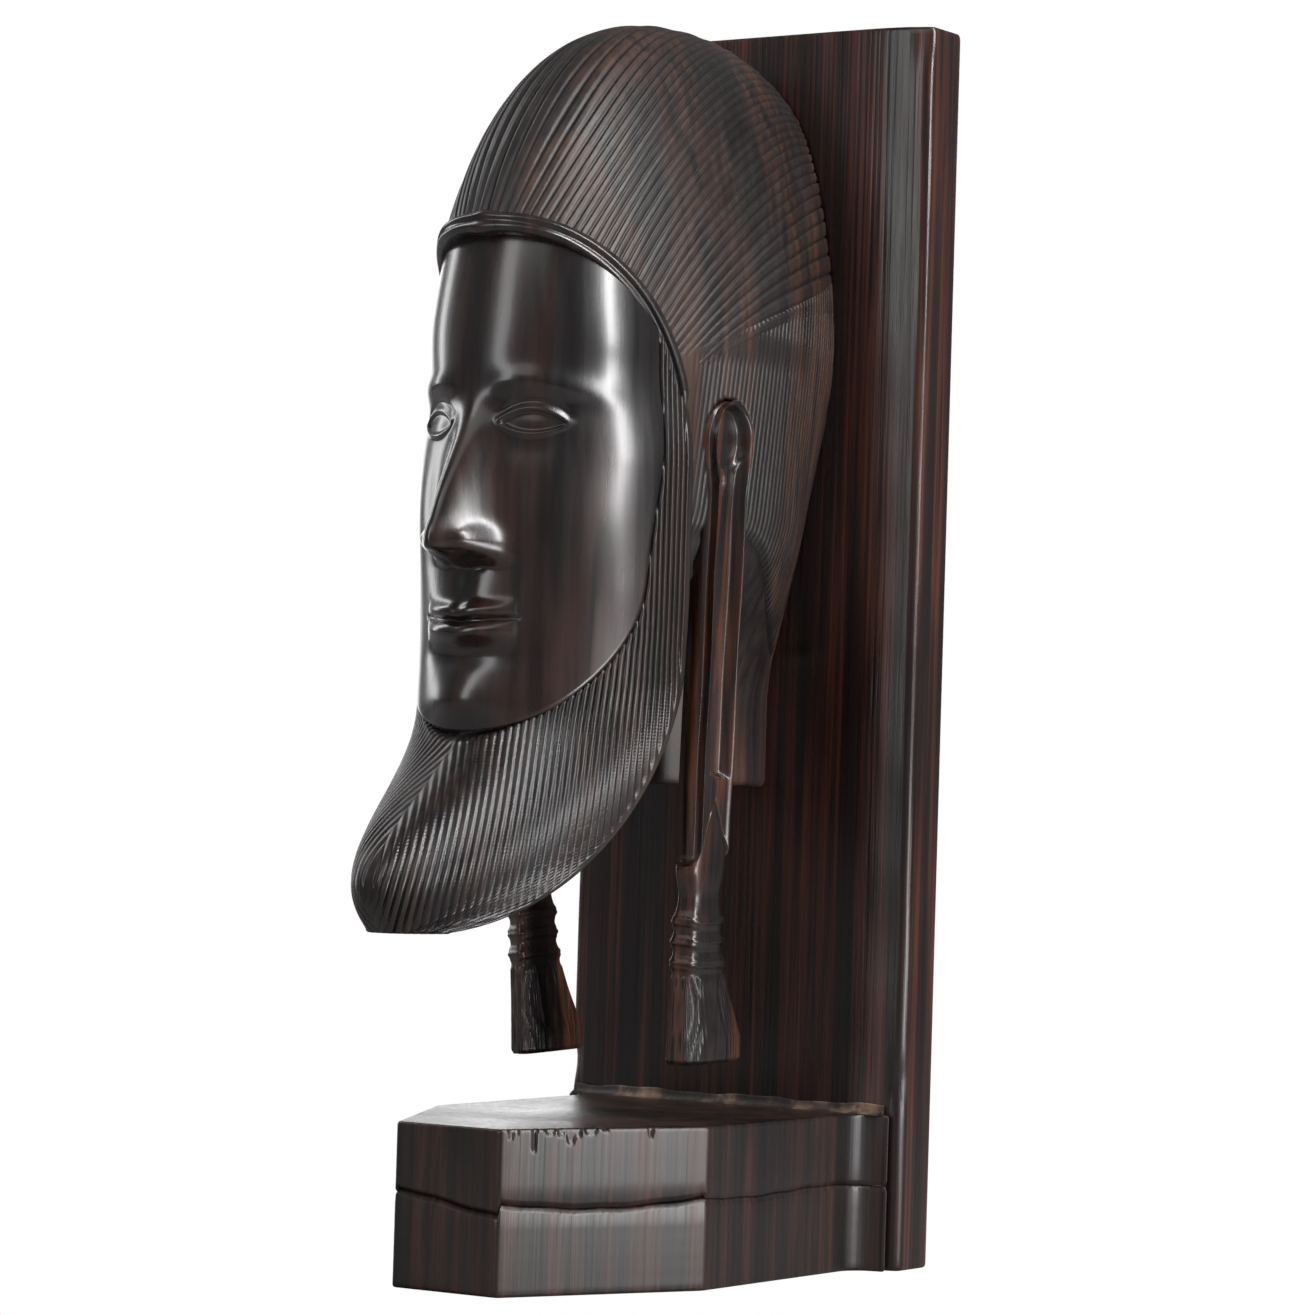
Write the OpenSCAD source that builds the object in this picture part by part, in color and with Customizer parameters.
// Carved hardwood head on a back board and a stepped plinth.
// The head faces -Y, the back board closes the +Y side, and the underside rests on Z = 0.

/* [Back board] */
// Width of the back board
board_w = 98; // [90:1:130]
// Thickness of the back board
board_t = 17; // [14:0.5:26]
// Height of the back board, which is the overall height
board_h = 305; // [302:1:380]
// Radius of the two front arrises of the back board
board_arris_r = 3; // [1:0.5:5]

/* [Plinth] */
// Width of the plinth between its two straight sides
plinth_w = 78; // [66:1:78]
// Length of the straight sides, measured out from the board
plinth_side = 69; // [50:1:80]
// Reach of the plinth from the board to its front facet
plinth_reach = 118; // [100:1:140]
// Width of the front facet
plinth_front_w = 29; // [20:1:40]
// Height of the lower tier
lower_tier_h = 19; // [16:0.5:26]
// Height of the upper tier
upper_tier_h = 19; // [16:0.5:26]
// Depth of the groove that marks the joint between the tiers
seam_depth = 1.2; // [0.6:0.1:2]
// Half height of that groove
seam_half_h = 1.2; // [0.6:0.1:2]
// Radius of the coved corner between each plinth side and the board
cove_r = 8; // [5:0.5:10]
// Radius of the small cove along the plinth top against the board
top_cove_r = 2.5; // [1.5:0.5:4]

/* [Head] */
// Width of the head across the hair
head_w = 64; // [56:1:76]
// Height of the crown above the underside
crown_z = 300; // [288:1:302]
// Height of the widest part of the hair
hair_z = 225; // [215:1:235]
// Height of the cut underside of the neck
neck_z = 117; // [108:1:125]
// Width of the neck
neck_w = 30; // [26:1:40]
// Reach of the neck from the board
neck_reach = 52; // [44:1:60]
// Reach from the board to the crown of the hair
crown_reach = 40; // [34:1:48]
// Reach from the board to the front of the hair
hair_reach = 119; // [112:1:126]
// Height of the headband at the middle of the forehead
band_front_z = 245; // [238:1:250]
// Height of the headband where it ends at the temples
band_temple_z = 204; // [199:1:210]

/* [Face and beard] */
// Reach from the board to the seat of the face against the head
seat_reach = 76; // [72:1:80]
// Reach from the board to the point of the beard
beard_reach = 151; // [145:1:160]
// Height of the lowest edge of the beard
beard_low_z = 82; // [74:1:92]
// Height of the front of the beard point
beard_tip_z = 91; // [86:1:98]
// Height of the chin
chin_z = 129; // [122:1:134]
// How far the face rim stands proud of the side of the head
rim_proud = 0.8; // [0.4:0.2:2]

/* [Ears and tassels] */
// Height of the top of the ears
ear_top_z = 208; // [204:1:214]
// Distance from the middle to the ear seat, at the top of the ear
ear_seat_x = 26.5; // [24:0.5:28]
// Lean of the long ear lobes towards the middle, in degrees
lobe_lean = 2.5; // [0:0.5:4]
// Thickness of the ears, lobes and tassels
lobe_t = 6.2; // [5:0.2:8]
// Sweep of the lobes back towards the board, in degrees
lobe_sweep = 1.8; // [0:0.2:3]
// Distance from the face seat back to the front of the ears
ear_setback = 9.5; // [7:0.5:12]
// Width of the lobes from front to back
lobe_w = 15; // [13:1:18]
// Depth of the trough carved down each lobe
trough_depth = 2.4; // [1:0.2:4]
// Length of the ear and lobe down to the mitred joint with the tassel
lobe_len = 110; // [96:1:118]
// Length of the tassel below the mitre
tassel_len = 47; // [36:1:52]
// Width of the flared end of the tassel
tassel_w = 25; // [20:1:30]
// Clearance of the ear in its housing
housing_gap = 0.2; // [0.1:0.1:0.6]

/* [Fixings] */
// Diameter of the dowels that hold the tiers and the face
dowel_d = 8; // [5:0.5:10]
// Length of those dowels
dowel_len = 22; // [16:1:30]
// Diameter of the small dowels in the ears and tassels
pin_d = 3; // [2:0.5:4]
// Length of the ear dowels
ear_pin_len = 12; // [9:1:16]
// Diameter of the wood screws
screw_d = 4.5; // [3:0.5:6]
// Length that the screws reach beyond the board
screw_bite = 26; // [18:1:32]
// Diameter of the screw heads
screw_head_d = 8.5; // [7:0.5:10]
// Diameter of the wooden plugs over the screw heads
plug_d = 10; // [9:0.5:13]
// Thickness of those plugs
plug_t = 5; // [3:0.5:6]
// Spacing of the screws across the plinth
plinth_screw_pitch = 48; // [30:1:56]

/* [Hidden] */
eps = 0.01;
plinth_h = lower_tier_h + upper_tier_h;
// The board face lies this far behind the middle of the overall depth.
board_face_y = (beard_reach + board_t) / 2 - board_t;
head_half = head_w / 2;
// Reach of the hair behind and in front of the crown, as half axes of the dome.
hair_front_axis = hair_reach - crown_reach;
hair_back_axis = 96;
hair_rise = crown_z - hair_z;
hair_square = 2.3;
ring_n = 16;
// The chamfered corner behind the head of each screw.
screw_head_t = 3;
// Play at each end of a blind dowel hole.
dowel_play = 0.5;
head_screw_z = [150, 245];
mask_dowel_x = 13;
mask_dowel_z = 192;
tier_dowel_reach = [28, 88];
ear_dowel_drop = [9, 22];

// Everything is drawn with the board face on Y = 0 and then moved to the middle.
module placed() {
    translate([0, board_face_y, 0]) children();
}

// 0 below the first value, 1 above the second, and a smooth rise in between.
function ease(a, b, v) =
    let (t = min(1, max(0, (v - a) / (b - a)))) t * t * (3 - 2 * t);
function mix(a, b, t) = a + (b - a) * t;
// A quarter of a superellipse: 1 at t = 0, falling to 0 at t = 1.
function arch(t, n) = pow(max(0, 1 - pow(abs(t), n)), 1 / n);

// Joins a list of rings with equal numbers of points into one closed solid.
module loft(rings) {
    n = len(rings[0]);
    m = len(rings);
    polyhedron(
        points = [for (r = rings) each r],
        faces = concat(
            [[for (i = [0:n - 1]) i]],
            [[for (i = [n - 1:-1:0]) (m - 1) * n + i]],
            [for (j = [0:m - 2]) for (i = [0:n - 1]) each [
                [j * n + i, (j + 1) * n + (i + 1) % n, j * n + (i + 1) % n],
                [j * n + i, (j + 1) * n + i, (j + 1) * n + (i + 1) % n]]]),
        convexity = 6);
}

// One level of a left-right symmetric solid, from front reach f to back reach b, where
// each entry of side is [share of the way back, half width].
function level(z, f, b, side) = concat(
    [for (s = side) [s[1], -mix(f, b, s[0]), z]],
    [for (i = [len(side) - 1:-1:0]) [-side[i][1], -mix(f, b, side[i][0]), z]]);
// Shares of the way back, closer together at the blunt front.
shares = [for (i = [0:ring_n]) 1 - cos(90 * i / ring_n)];

// ---- Hair ----
function hair_height_term(z) = z > hair_z ? pow((z - hair_z) / hair_rise, 1.65) : 0;
function hair_front(z) = crown_reach + hair_front_axis * sqrt(max(0, 1 - hair_height_term(z)));
function hair_back(z) = max(0, crown_reach - hair_back_axis * sqrt(max(0, 1 - hair_height_term(z))));
// Half width of the hair at a reach and a height: a dome that draws in towards the board.
function hair_half(reach, z) =
    let (d = reach > crown_reach ? pow((reach - crown_reach) / hair_front_axis, 2.4)
                                 : pow((crown_reach - reach) / hair_back_axis, 2),
         waist = mix(0.45, 0.15, ease(hair_z - 60, hair_z, z)),
         back = max(0, 1 - reach / crown_reach))
    head_half * pow(max(0, 1 - hair_height_term(z) - d), 1 / hair_square) * (1 - waist * back * back);
// Below the ears the head draws in to the neck.
function neck_share(z) = 1 - ease(neck_z + 18, neck_z + 66, z);
function block_front(z) =
    z > hair_z ? hair_front(z) : mix(hair_reach, neck_reach, ease(0, 1, neck_share(z) * 1.15));
function block_half(reach, z) =
    let (k = neck_share(z),
         front = max(0, 1 - pow(reach / (block_front(z) + 1), 4)),
         back = 1 - 0.45 * pow(max(0, 1 - reach / 20), 2),
         neck = neck_w / 2 * pow(front, 0.4) * back)
    mix(hair_half(reach, z), neck, k);
function block_level(z) =
    let (f = block_front(z), b = hair_back(z))
    level(z, f, b, [for (s = shares) [s, s == 0 ? 0.6 : block_half(mix(f, b, s), z)]]);
block_levels = concat(
    [for (i = [0:15]) mix(neck_z, hair_z, i / 16)],
    [for (i = [0:14]) hair_z + hair_rise * sin(86 * i / 14)]);

// ---- Face and beard, on general proportions ----
// The rim leaves the seat in a quarter ellipse that ends under the beard point.
rim_turn_z = 150;
function rim_reach(z) =
    z > rim_turn_z ? seat_reach
    : seat_reach + (beard_reach - 12 - seat_reach)
        * (1 - arch((rim_turn_z - z) / (rim_turn_z - beard_low_z + eps), 2));
function rim_half(z) =
    let (full = head_half + rim_proud, top = rim_turn_z + 14)
    z > top ? full : max(3, full * arch((top - z) / (top - beard_low_z + 2), 2.1));
// Thirds of the face: hairline to brow, brow to nose, nose to chin.
third = (band_front_z - chin_z) / 3;
brow_z = chin_z + 2 * third;
nose_z = chin_z + third;
mouth_z = chin_z + 0.62 * third;
forehead_reach = hair_reach - 2;
// How far the nose stands out, and how blunt the face is in plan.
nose_proud = 15;
face_square = 1.85;
function bump(v, mid, spread) = exp(-pow((v - mid) / spread, 2));
// The middle of the face in side view.
function face_front(z) =
    let (forehead = forehead_reach - 5 * pow(max(0, z - brow_z) / third, 2) + 1.5 * bump(z, brow_z, 6),
         chin = forehead_reach + 2 * bump(z, chin_z + 5, 9),
         beard = mix(beard_reach, forehead_reach - 1, ease(beard_tip_z, chin_z + 6, z)))
    z > nose_z ? forehead
    : z > chin_z + 6 ? chin
    : z > beard_tip_z ? max(beard, chin)
    : beard_reach - 5 * pow((beard_tip_z - z) / (beard_tip_z - beard_low_z), 2);
// Relief of the features, added outwards at a half width x and height z.
function nose_ridge(x, z) =
    nose_proud * (1 - ease(nose_z + 3, brow_z + 3, z)) * ease(nose_z - 4, nose_z + 2, z)
        * exp(-pow(x / mix(7, 4.5, ease(nose_z, brow_z, z)), 2));
function eye_hollow(x, z) = 4.5 * bump(z, brow_z - 7, 6.5) * exp(-pow((x - 13.5) / 7, 2));
function eyelid(x, z) = 2.6 * bump(z, brow_z - 7, 3.4) * exp(-pow((x - 13.5) / 5, 2));
function lips(x, z) =
    2.4 * (bump(z, mouth_z + 2.6, 2) + bump(z, mouth_z - 2.6, 2.2)) * exp(-pow(x / 9, 2));
function relief(x, z) = nose_ridge(x, z) - eye_hollow(x, z) + eyelid(x, z) + lips(x, z);
function mask_level(z) =
    let (f = face_front(z), b = rim_reach(z), w = rim_half(z))
    concat(
        [for (s = shares) mask_point(s, f, b, w, z, 1)],
        [for (i = [ring_n:-1:0]) mask_point(shares[i], f, b, w, z, -1)]);
function mask_point(s, f, b, w, z, side) =
    let (x = s == 0 ? 0.6 : min(w * arch(1 - s, face_square),
                        z > brow_z ? max(1, hair_half(mix(f, b, s), z) - 0.9) : w))
    [side * x, -min(beard_reach, mix(f, b, s) + relief(x, z)), z];
mask_levels = concat(
    [beard_low_z, beard_low_z + 1.5, beard_low_z + 3.5, beard_low_z + 6, beard_tip_z],
    [for (i = [1:36]) mix(beard_tip_z, band_front_z, i / 36)]);

// The line of the headband in side view, arching from the temples to the forehead.
function band_z(reach) =
    band_temple_z + (band_front_z - band_temple_z)
        * arch((hair_reach - reach) / (hair_reach - seat_reach), 1.6);
// Space below the headband and in front of a reach from the board.
module face_space(reach) {
    far = 400;
    steps = 14;
    rotate([90, 0, 90]) linear_extrude(height = 200, center = true) polygon(concat(
        [[-reach, -far], [-reach, band_temple_z]],
        [for (i = [reach < seat_reach ? 0 : 1:steps]) let (r = mix(seat_reach, hair_reach, i / steps)) [-r, band_z(r)]],
        [[-far, band_front_z], [-far, -far]]));
}

// ---- Ears, lobes and tassels ----
// Local frame of a hanging lobe: the seat plane is X = 0, its middle line is Y = 0, its top is Z = 0.
module hung(side) {
    placed() mirror([side < 0 ? 1 : 0, 0, 0])
        translate([ear_seat_x, -lobe_reach, ear_top_z]) rotate([lobe_sweep, lobe_lean, 0]) children();
}
half_lobe = lobe_w / 2;
// Radius of the rounded top of the ear, a little wider than the lobe.
ear_top_r = half_lobe + 2;
lobe_reach = seat_reach - ear_setback - ear_top_r;
// Height of the point of the mitre above the shoulders of the joint.
mitre_h = lobe_w;
// The peg of each tassel stands across the point of the mitre.
peg_len = 11;
peg_foot = mitre_h - 7;

// Side outline of the ear and lobe, without the mitre, drawn in the Y-Z plane.
module lobe_outline(gap) {
    ear_r = ear_top_r + gap;
    edge = half_lobe + gap;
    polygon(concat(
        [for (a = [0:9:180]) [ear_r * cos(a), ear_r * (sin(a) - 1) + gap]],
        [[-edge, -ear_r - 12], [-edge, -lobe_len], [edge, -lobe_len], [edge, -ear_r - 12]]));
}
module upright(from, thick) {
    translate([from, 0, 0]) rotate([90, 0, 90]) linear_extrude(height = thick) children();
}
// The pointed half of the mitred joint, with its shoulders at the foot of the lobe.
module mitre() {
    polygon([[half_lobe, -lobe_len], [0, mitre_h - lobe_len], [-half_lobe, -lobe_len],
        [-half_lobe, -lobe_len - eps], [half_lobe, -lobe_len - eps]]);
}
module peg_hole(from, length) {
    translate([lobe_t / 2, 0, from - lobe_len]) cylinder(d = pin_d, h = length, $fn = 32);
}
module ear(side) {
    trough_w = lobe_w - 7;
    hung(side) difference() {
        upright(0, lobe_t) difference() {
            lobe_outline(0);
            mitre();
        }
        upright(lobe_t - trough_depth, lobe_t) {
            translate([0, -9.5]) circle(d = trough_w + 3, $fn = 48);
            translate([-trough_w / 2, mitre_h + 4 - lobe_len]) square([trough_w, lobe_len - mitre_h - 13]);
        }
        ear_dowel_set(dowel_play);
        peg_hole(peg_foot, peg_len + dowel_play);
    }
}
module tassel(side) {
    neck_drop = 16;
    band_t = 3.2;
    hung(side) difference() {
        union() {
            upright(0, lobe_t) {
                mitre();
                polygon([[half_lobe, -lobe_len], [-half_lobe, -lobe_len], [-half_lobe, -lobe_len - tassel_len],
                    [tassel_w - half_lobe, -lobe_len - tassel_len], [half_lobe, -lobe_len - neck_drop]]);
            }
            for (drop = [13, 18, 23]) translate([-0.5, -half_lobe - 0.6, -lobe_len - drop - band_t / 2])
                cube([lobe_t + 1, lobe_w + 2, band_t]);
        }
        peg_hole(peg_foot - dowel_play, peg_len);
    }
}

// ---- Plinth ----
module plinth_plan(inset) {
    side = plinth_w / 2 - inset;
    front = plinth_front_w / 2 - inset * 0.3;
    corner = plinth_side - inset * 0.2;
    difference() {
        polygon([[side + cove_r, 0], [side + cove_r, -cove_r], [side, -cove_r - eps], [side, -corner],
            [front, inset - plinth_reach], [-front, inset - plinth_reach],
            [-side, -corner], [-side, -cove_r - eps], [-side - cove_r, -cove_r], [-side - cove_r, 0]]);
        for (s = [-1, 1]) translate([s * (side + cove_r), -cove_r]) circle(r = cove_r - 0.4, $fn = 64);
    }
}
// One tier, with the seam groove taken off its top or its bottom edge.
module tier(z, h, groove_z) {
    translate([0, 0, groove_z > z ? z : z + seam_half_h])
        linear_extrude(height = h - seam_half_h) plinth_plan(0);
    translate([0, 0, groove_z > z ? z + h - seam_half_h : z])
        linear_extrude(height = seam_half_h) plinth_plan(seam_depth);
}
module tier_dowels(extra) {
    for (reach = tier_dowel_reach) translate([0, -reach, lower_tier_h])
        cylinder(d = dowel_d, h = dowel_len + 2 * extra, center = true, $fn = 48);
}

// ---- Fixings ----
// Places of the screws in the board face: [x, z].
plinth_screw_at = [for (x = [-1, 1]) for (z = [lower_tier_h / 2, lower_tier_h + upper_tier_h / 2])
    [x * plinth_screw_pitch / 2, z]];
head_screw_at = [for (z = head_screw_z) [0, z]];
module at_board(places) {
    placed() for (p = places) translate([p[0], 0, p[1]]) rotate([-90, 0, 0]) children();
}
module wood_screw() {
    head_z = board_t - plug_t - screw_head_t;
    translate([0, 0, -screw_bite]) cylinder(d = screw_d, h = screw_bite + head_z, $fn = 40);
    translate([0, 0, head_z]) cylinder(d1 = screw_d, d2 = screw_head_d, h = screw_head_t, $fn = 40);
}
module screw_way() {
    translate([0, 0, -1]) cylinder(d = screw_d + 0.4, h = board_t, $fn = 40);
    translate([0, 0, board_t - plug_t - screw_head_t]) cylinder(d = plug_d, h = plug_t + screw_head_t + 1, $fn = 48);
}
module screw_pilot() {
    translate([0, 0, -screw_bite - dowel_play]) cylinder(d = screw_d, h = screw_bite + dowel_play + 1, $fn = 40);
}
module mask_dowel_set(extra) {
    for (s = [-1, 1]) translate([s * mask_dowel_x, -seat_reach, mask_dowel_z]) rotate([90, 0, 0])
        cylinder(d = dowel_d - 2, h = dowel_len + 2 * extra, center = true, $fn = 40);
}

module plinth_lower() {
    color("#2a1f1d") difference() {
        placed() tier(0, lower_tier_h, lower_tier_h);
        placed() tier_dowels(dowel_play);
        at_board(plinth_screw_at) screw_pilot();
    }
}
module plinth_upper() {
    top_half = plinth_w / 2 + cove_r - 1.5;
    color("#2f2321") difference() {
        placed() union() {
            tier(lower_tier_h, upper_tier_h, lower_tier_h);
            difference() {
                translate([-top_half, -top_cove_r, plinth_h - eps]) cube([2 * top_half, top_cove_r, top_cove_r]);
                translate([0, -top_cove_r, plinth_h + top_cove_r]) rotate([0, 90, 0])
                    cylinder(r = top_cove_r - 0.3, h = 2 * top_half + 2, center = true, $fn = 48);
                for (s = [-1, 1]) translate([s * (plinth_w / 2 + cove_r), -cove_r, plinth_h - 1])
                    cylinder(r = cove_r - 0.4, h = top_cove_r + 2, $fn = 64);
            }
        }
        placed() tier_dowels(dowel_play);
        at_board(plinth_screw_at) screw_pilot();
    }
}
module back_board() {
    half = board_w / 2;
    r = board_arris_r;
    color("#3a211c") difference() {
        placed() linear_extrude(height = board_h) union() {
            translate([-half, r]) square([board_w, board_t - r]);
            translate([r - half, 0]) square([board_w - 2 * r, r + eps]);
            for (s = [-1, 1]) translate([s * (half - r), r]) circle(r = r, $fn = 48);
        }
        at_board(plinth_screw_at) screw_way();
        at_board(head_screw_at) screw_way();
    }
}
module head_block() {
    color("#33231f") difference() {
        placed() loft([for (z = block_levels) block_level(z)]);
        placed() face_space(seat_reach);
        for (side = [-1, 1]) hung(side) upright(0, 30) lobe_outline(housing_gap);
        for (side = [-1, 1]) hung(side) ear_dowel_set(dowel_play);
        placed() mask_dowel_set(dowel_play);
        at_board(head_screw_at) screw_pilot();
    }
}
module face_mask() {
    color("#241b1a") difference() {
        placed() intersection() {
            loft([for (z = mask_levels) mask_level(z)]);
            face_space(0);
        }
        placed() mask_dowel_set(dowel_play);
    }
}
module ear_left() {
    color("#4a2c22") ear(-1);
}
module ear_right() {
    color("#4a2c22") ear(1);
}
module tassel_left() {
    color("#3c2620") tassel(-1);
}
module tassel_right() {
    color("#3c2620") tassel(1);
}
module plinth_dowels() {
    color("#a8794a") placed() tier_dowels(0);
}
module mask_dowels() {
    color("#a8794a") placed() mask_dowel_set(0);
}
// Each ear dowel reaches a quarter of its length into the ear.
module ear_dowel_set(extra) {
    for (drop = ear_dowel_drop) translate([-ear_pin_len * 0.75 - extra, 0, -drop])
        rotate([0, 90, 0]) cylinder(d = pin_d, h = ear_pin_len + 2 * extra, $fn = 32);
}
module ear_dowels() {
    color("#a8794a") for (side = [-1, 1]) hung(side) ear_dowel_set(0);
}
module tassel_pegs() {
    color("#a8794a") for (side = [-1, 1]) hung(side) peg_hole(peg_foot, peg_len);
}
module plinth_screws() {
    color("#b08d57") at_board(plinth_screw_at) wood_screw();
}
module head_screws() {
    color("#b08d57") at_board(head_screw_at) wood_screw();
}
module screw_plugs() {
    color("#301c17") {
        at_board(plinth_screw_at) translate([0, 0, board_t - plug_t]) cylinder(d = plug_d, h = plug_t, $fn = 48);
        at_board(head_screw_at) translate([0, 0, board_t - plug_t]) cylinder(d = plug_d, h = plug_t, $fn = 48);
    }
}

plinth_lower();
plinth_upper();
back_board();
head_block();
face_mask();
ear_left();
ear_right();
tassel_left();
tassel_right();
plinth_dowels();
mask_dowels();
ear_dowels();
tassel_pegs();
plinth_screws();
head_screws();
screw_plugs();
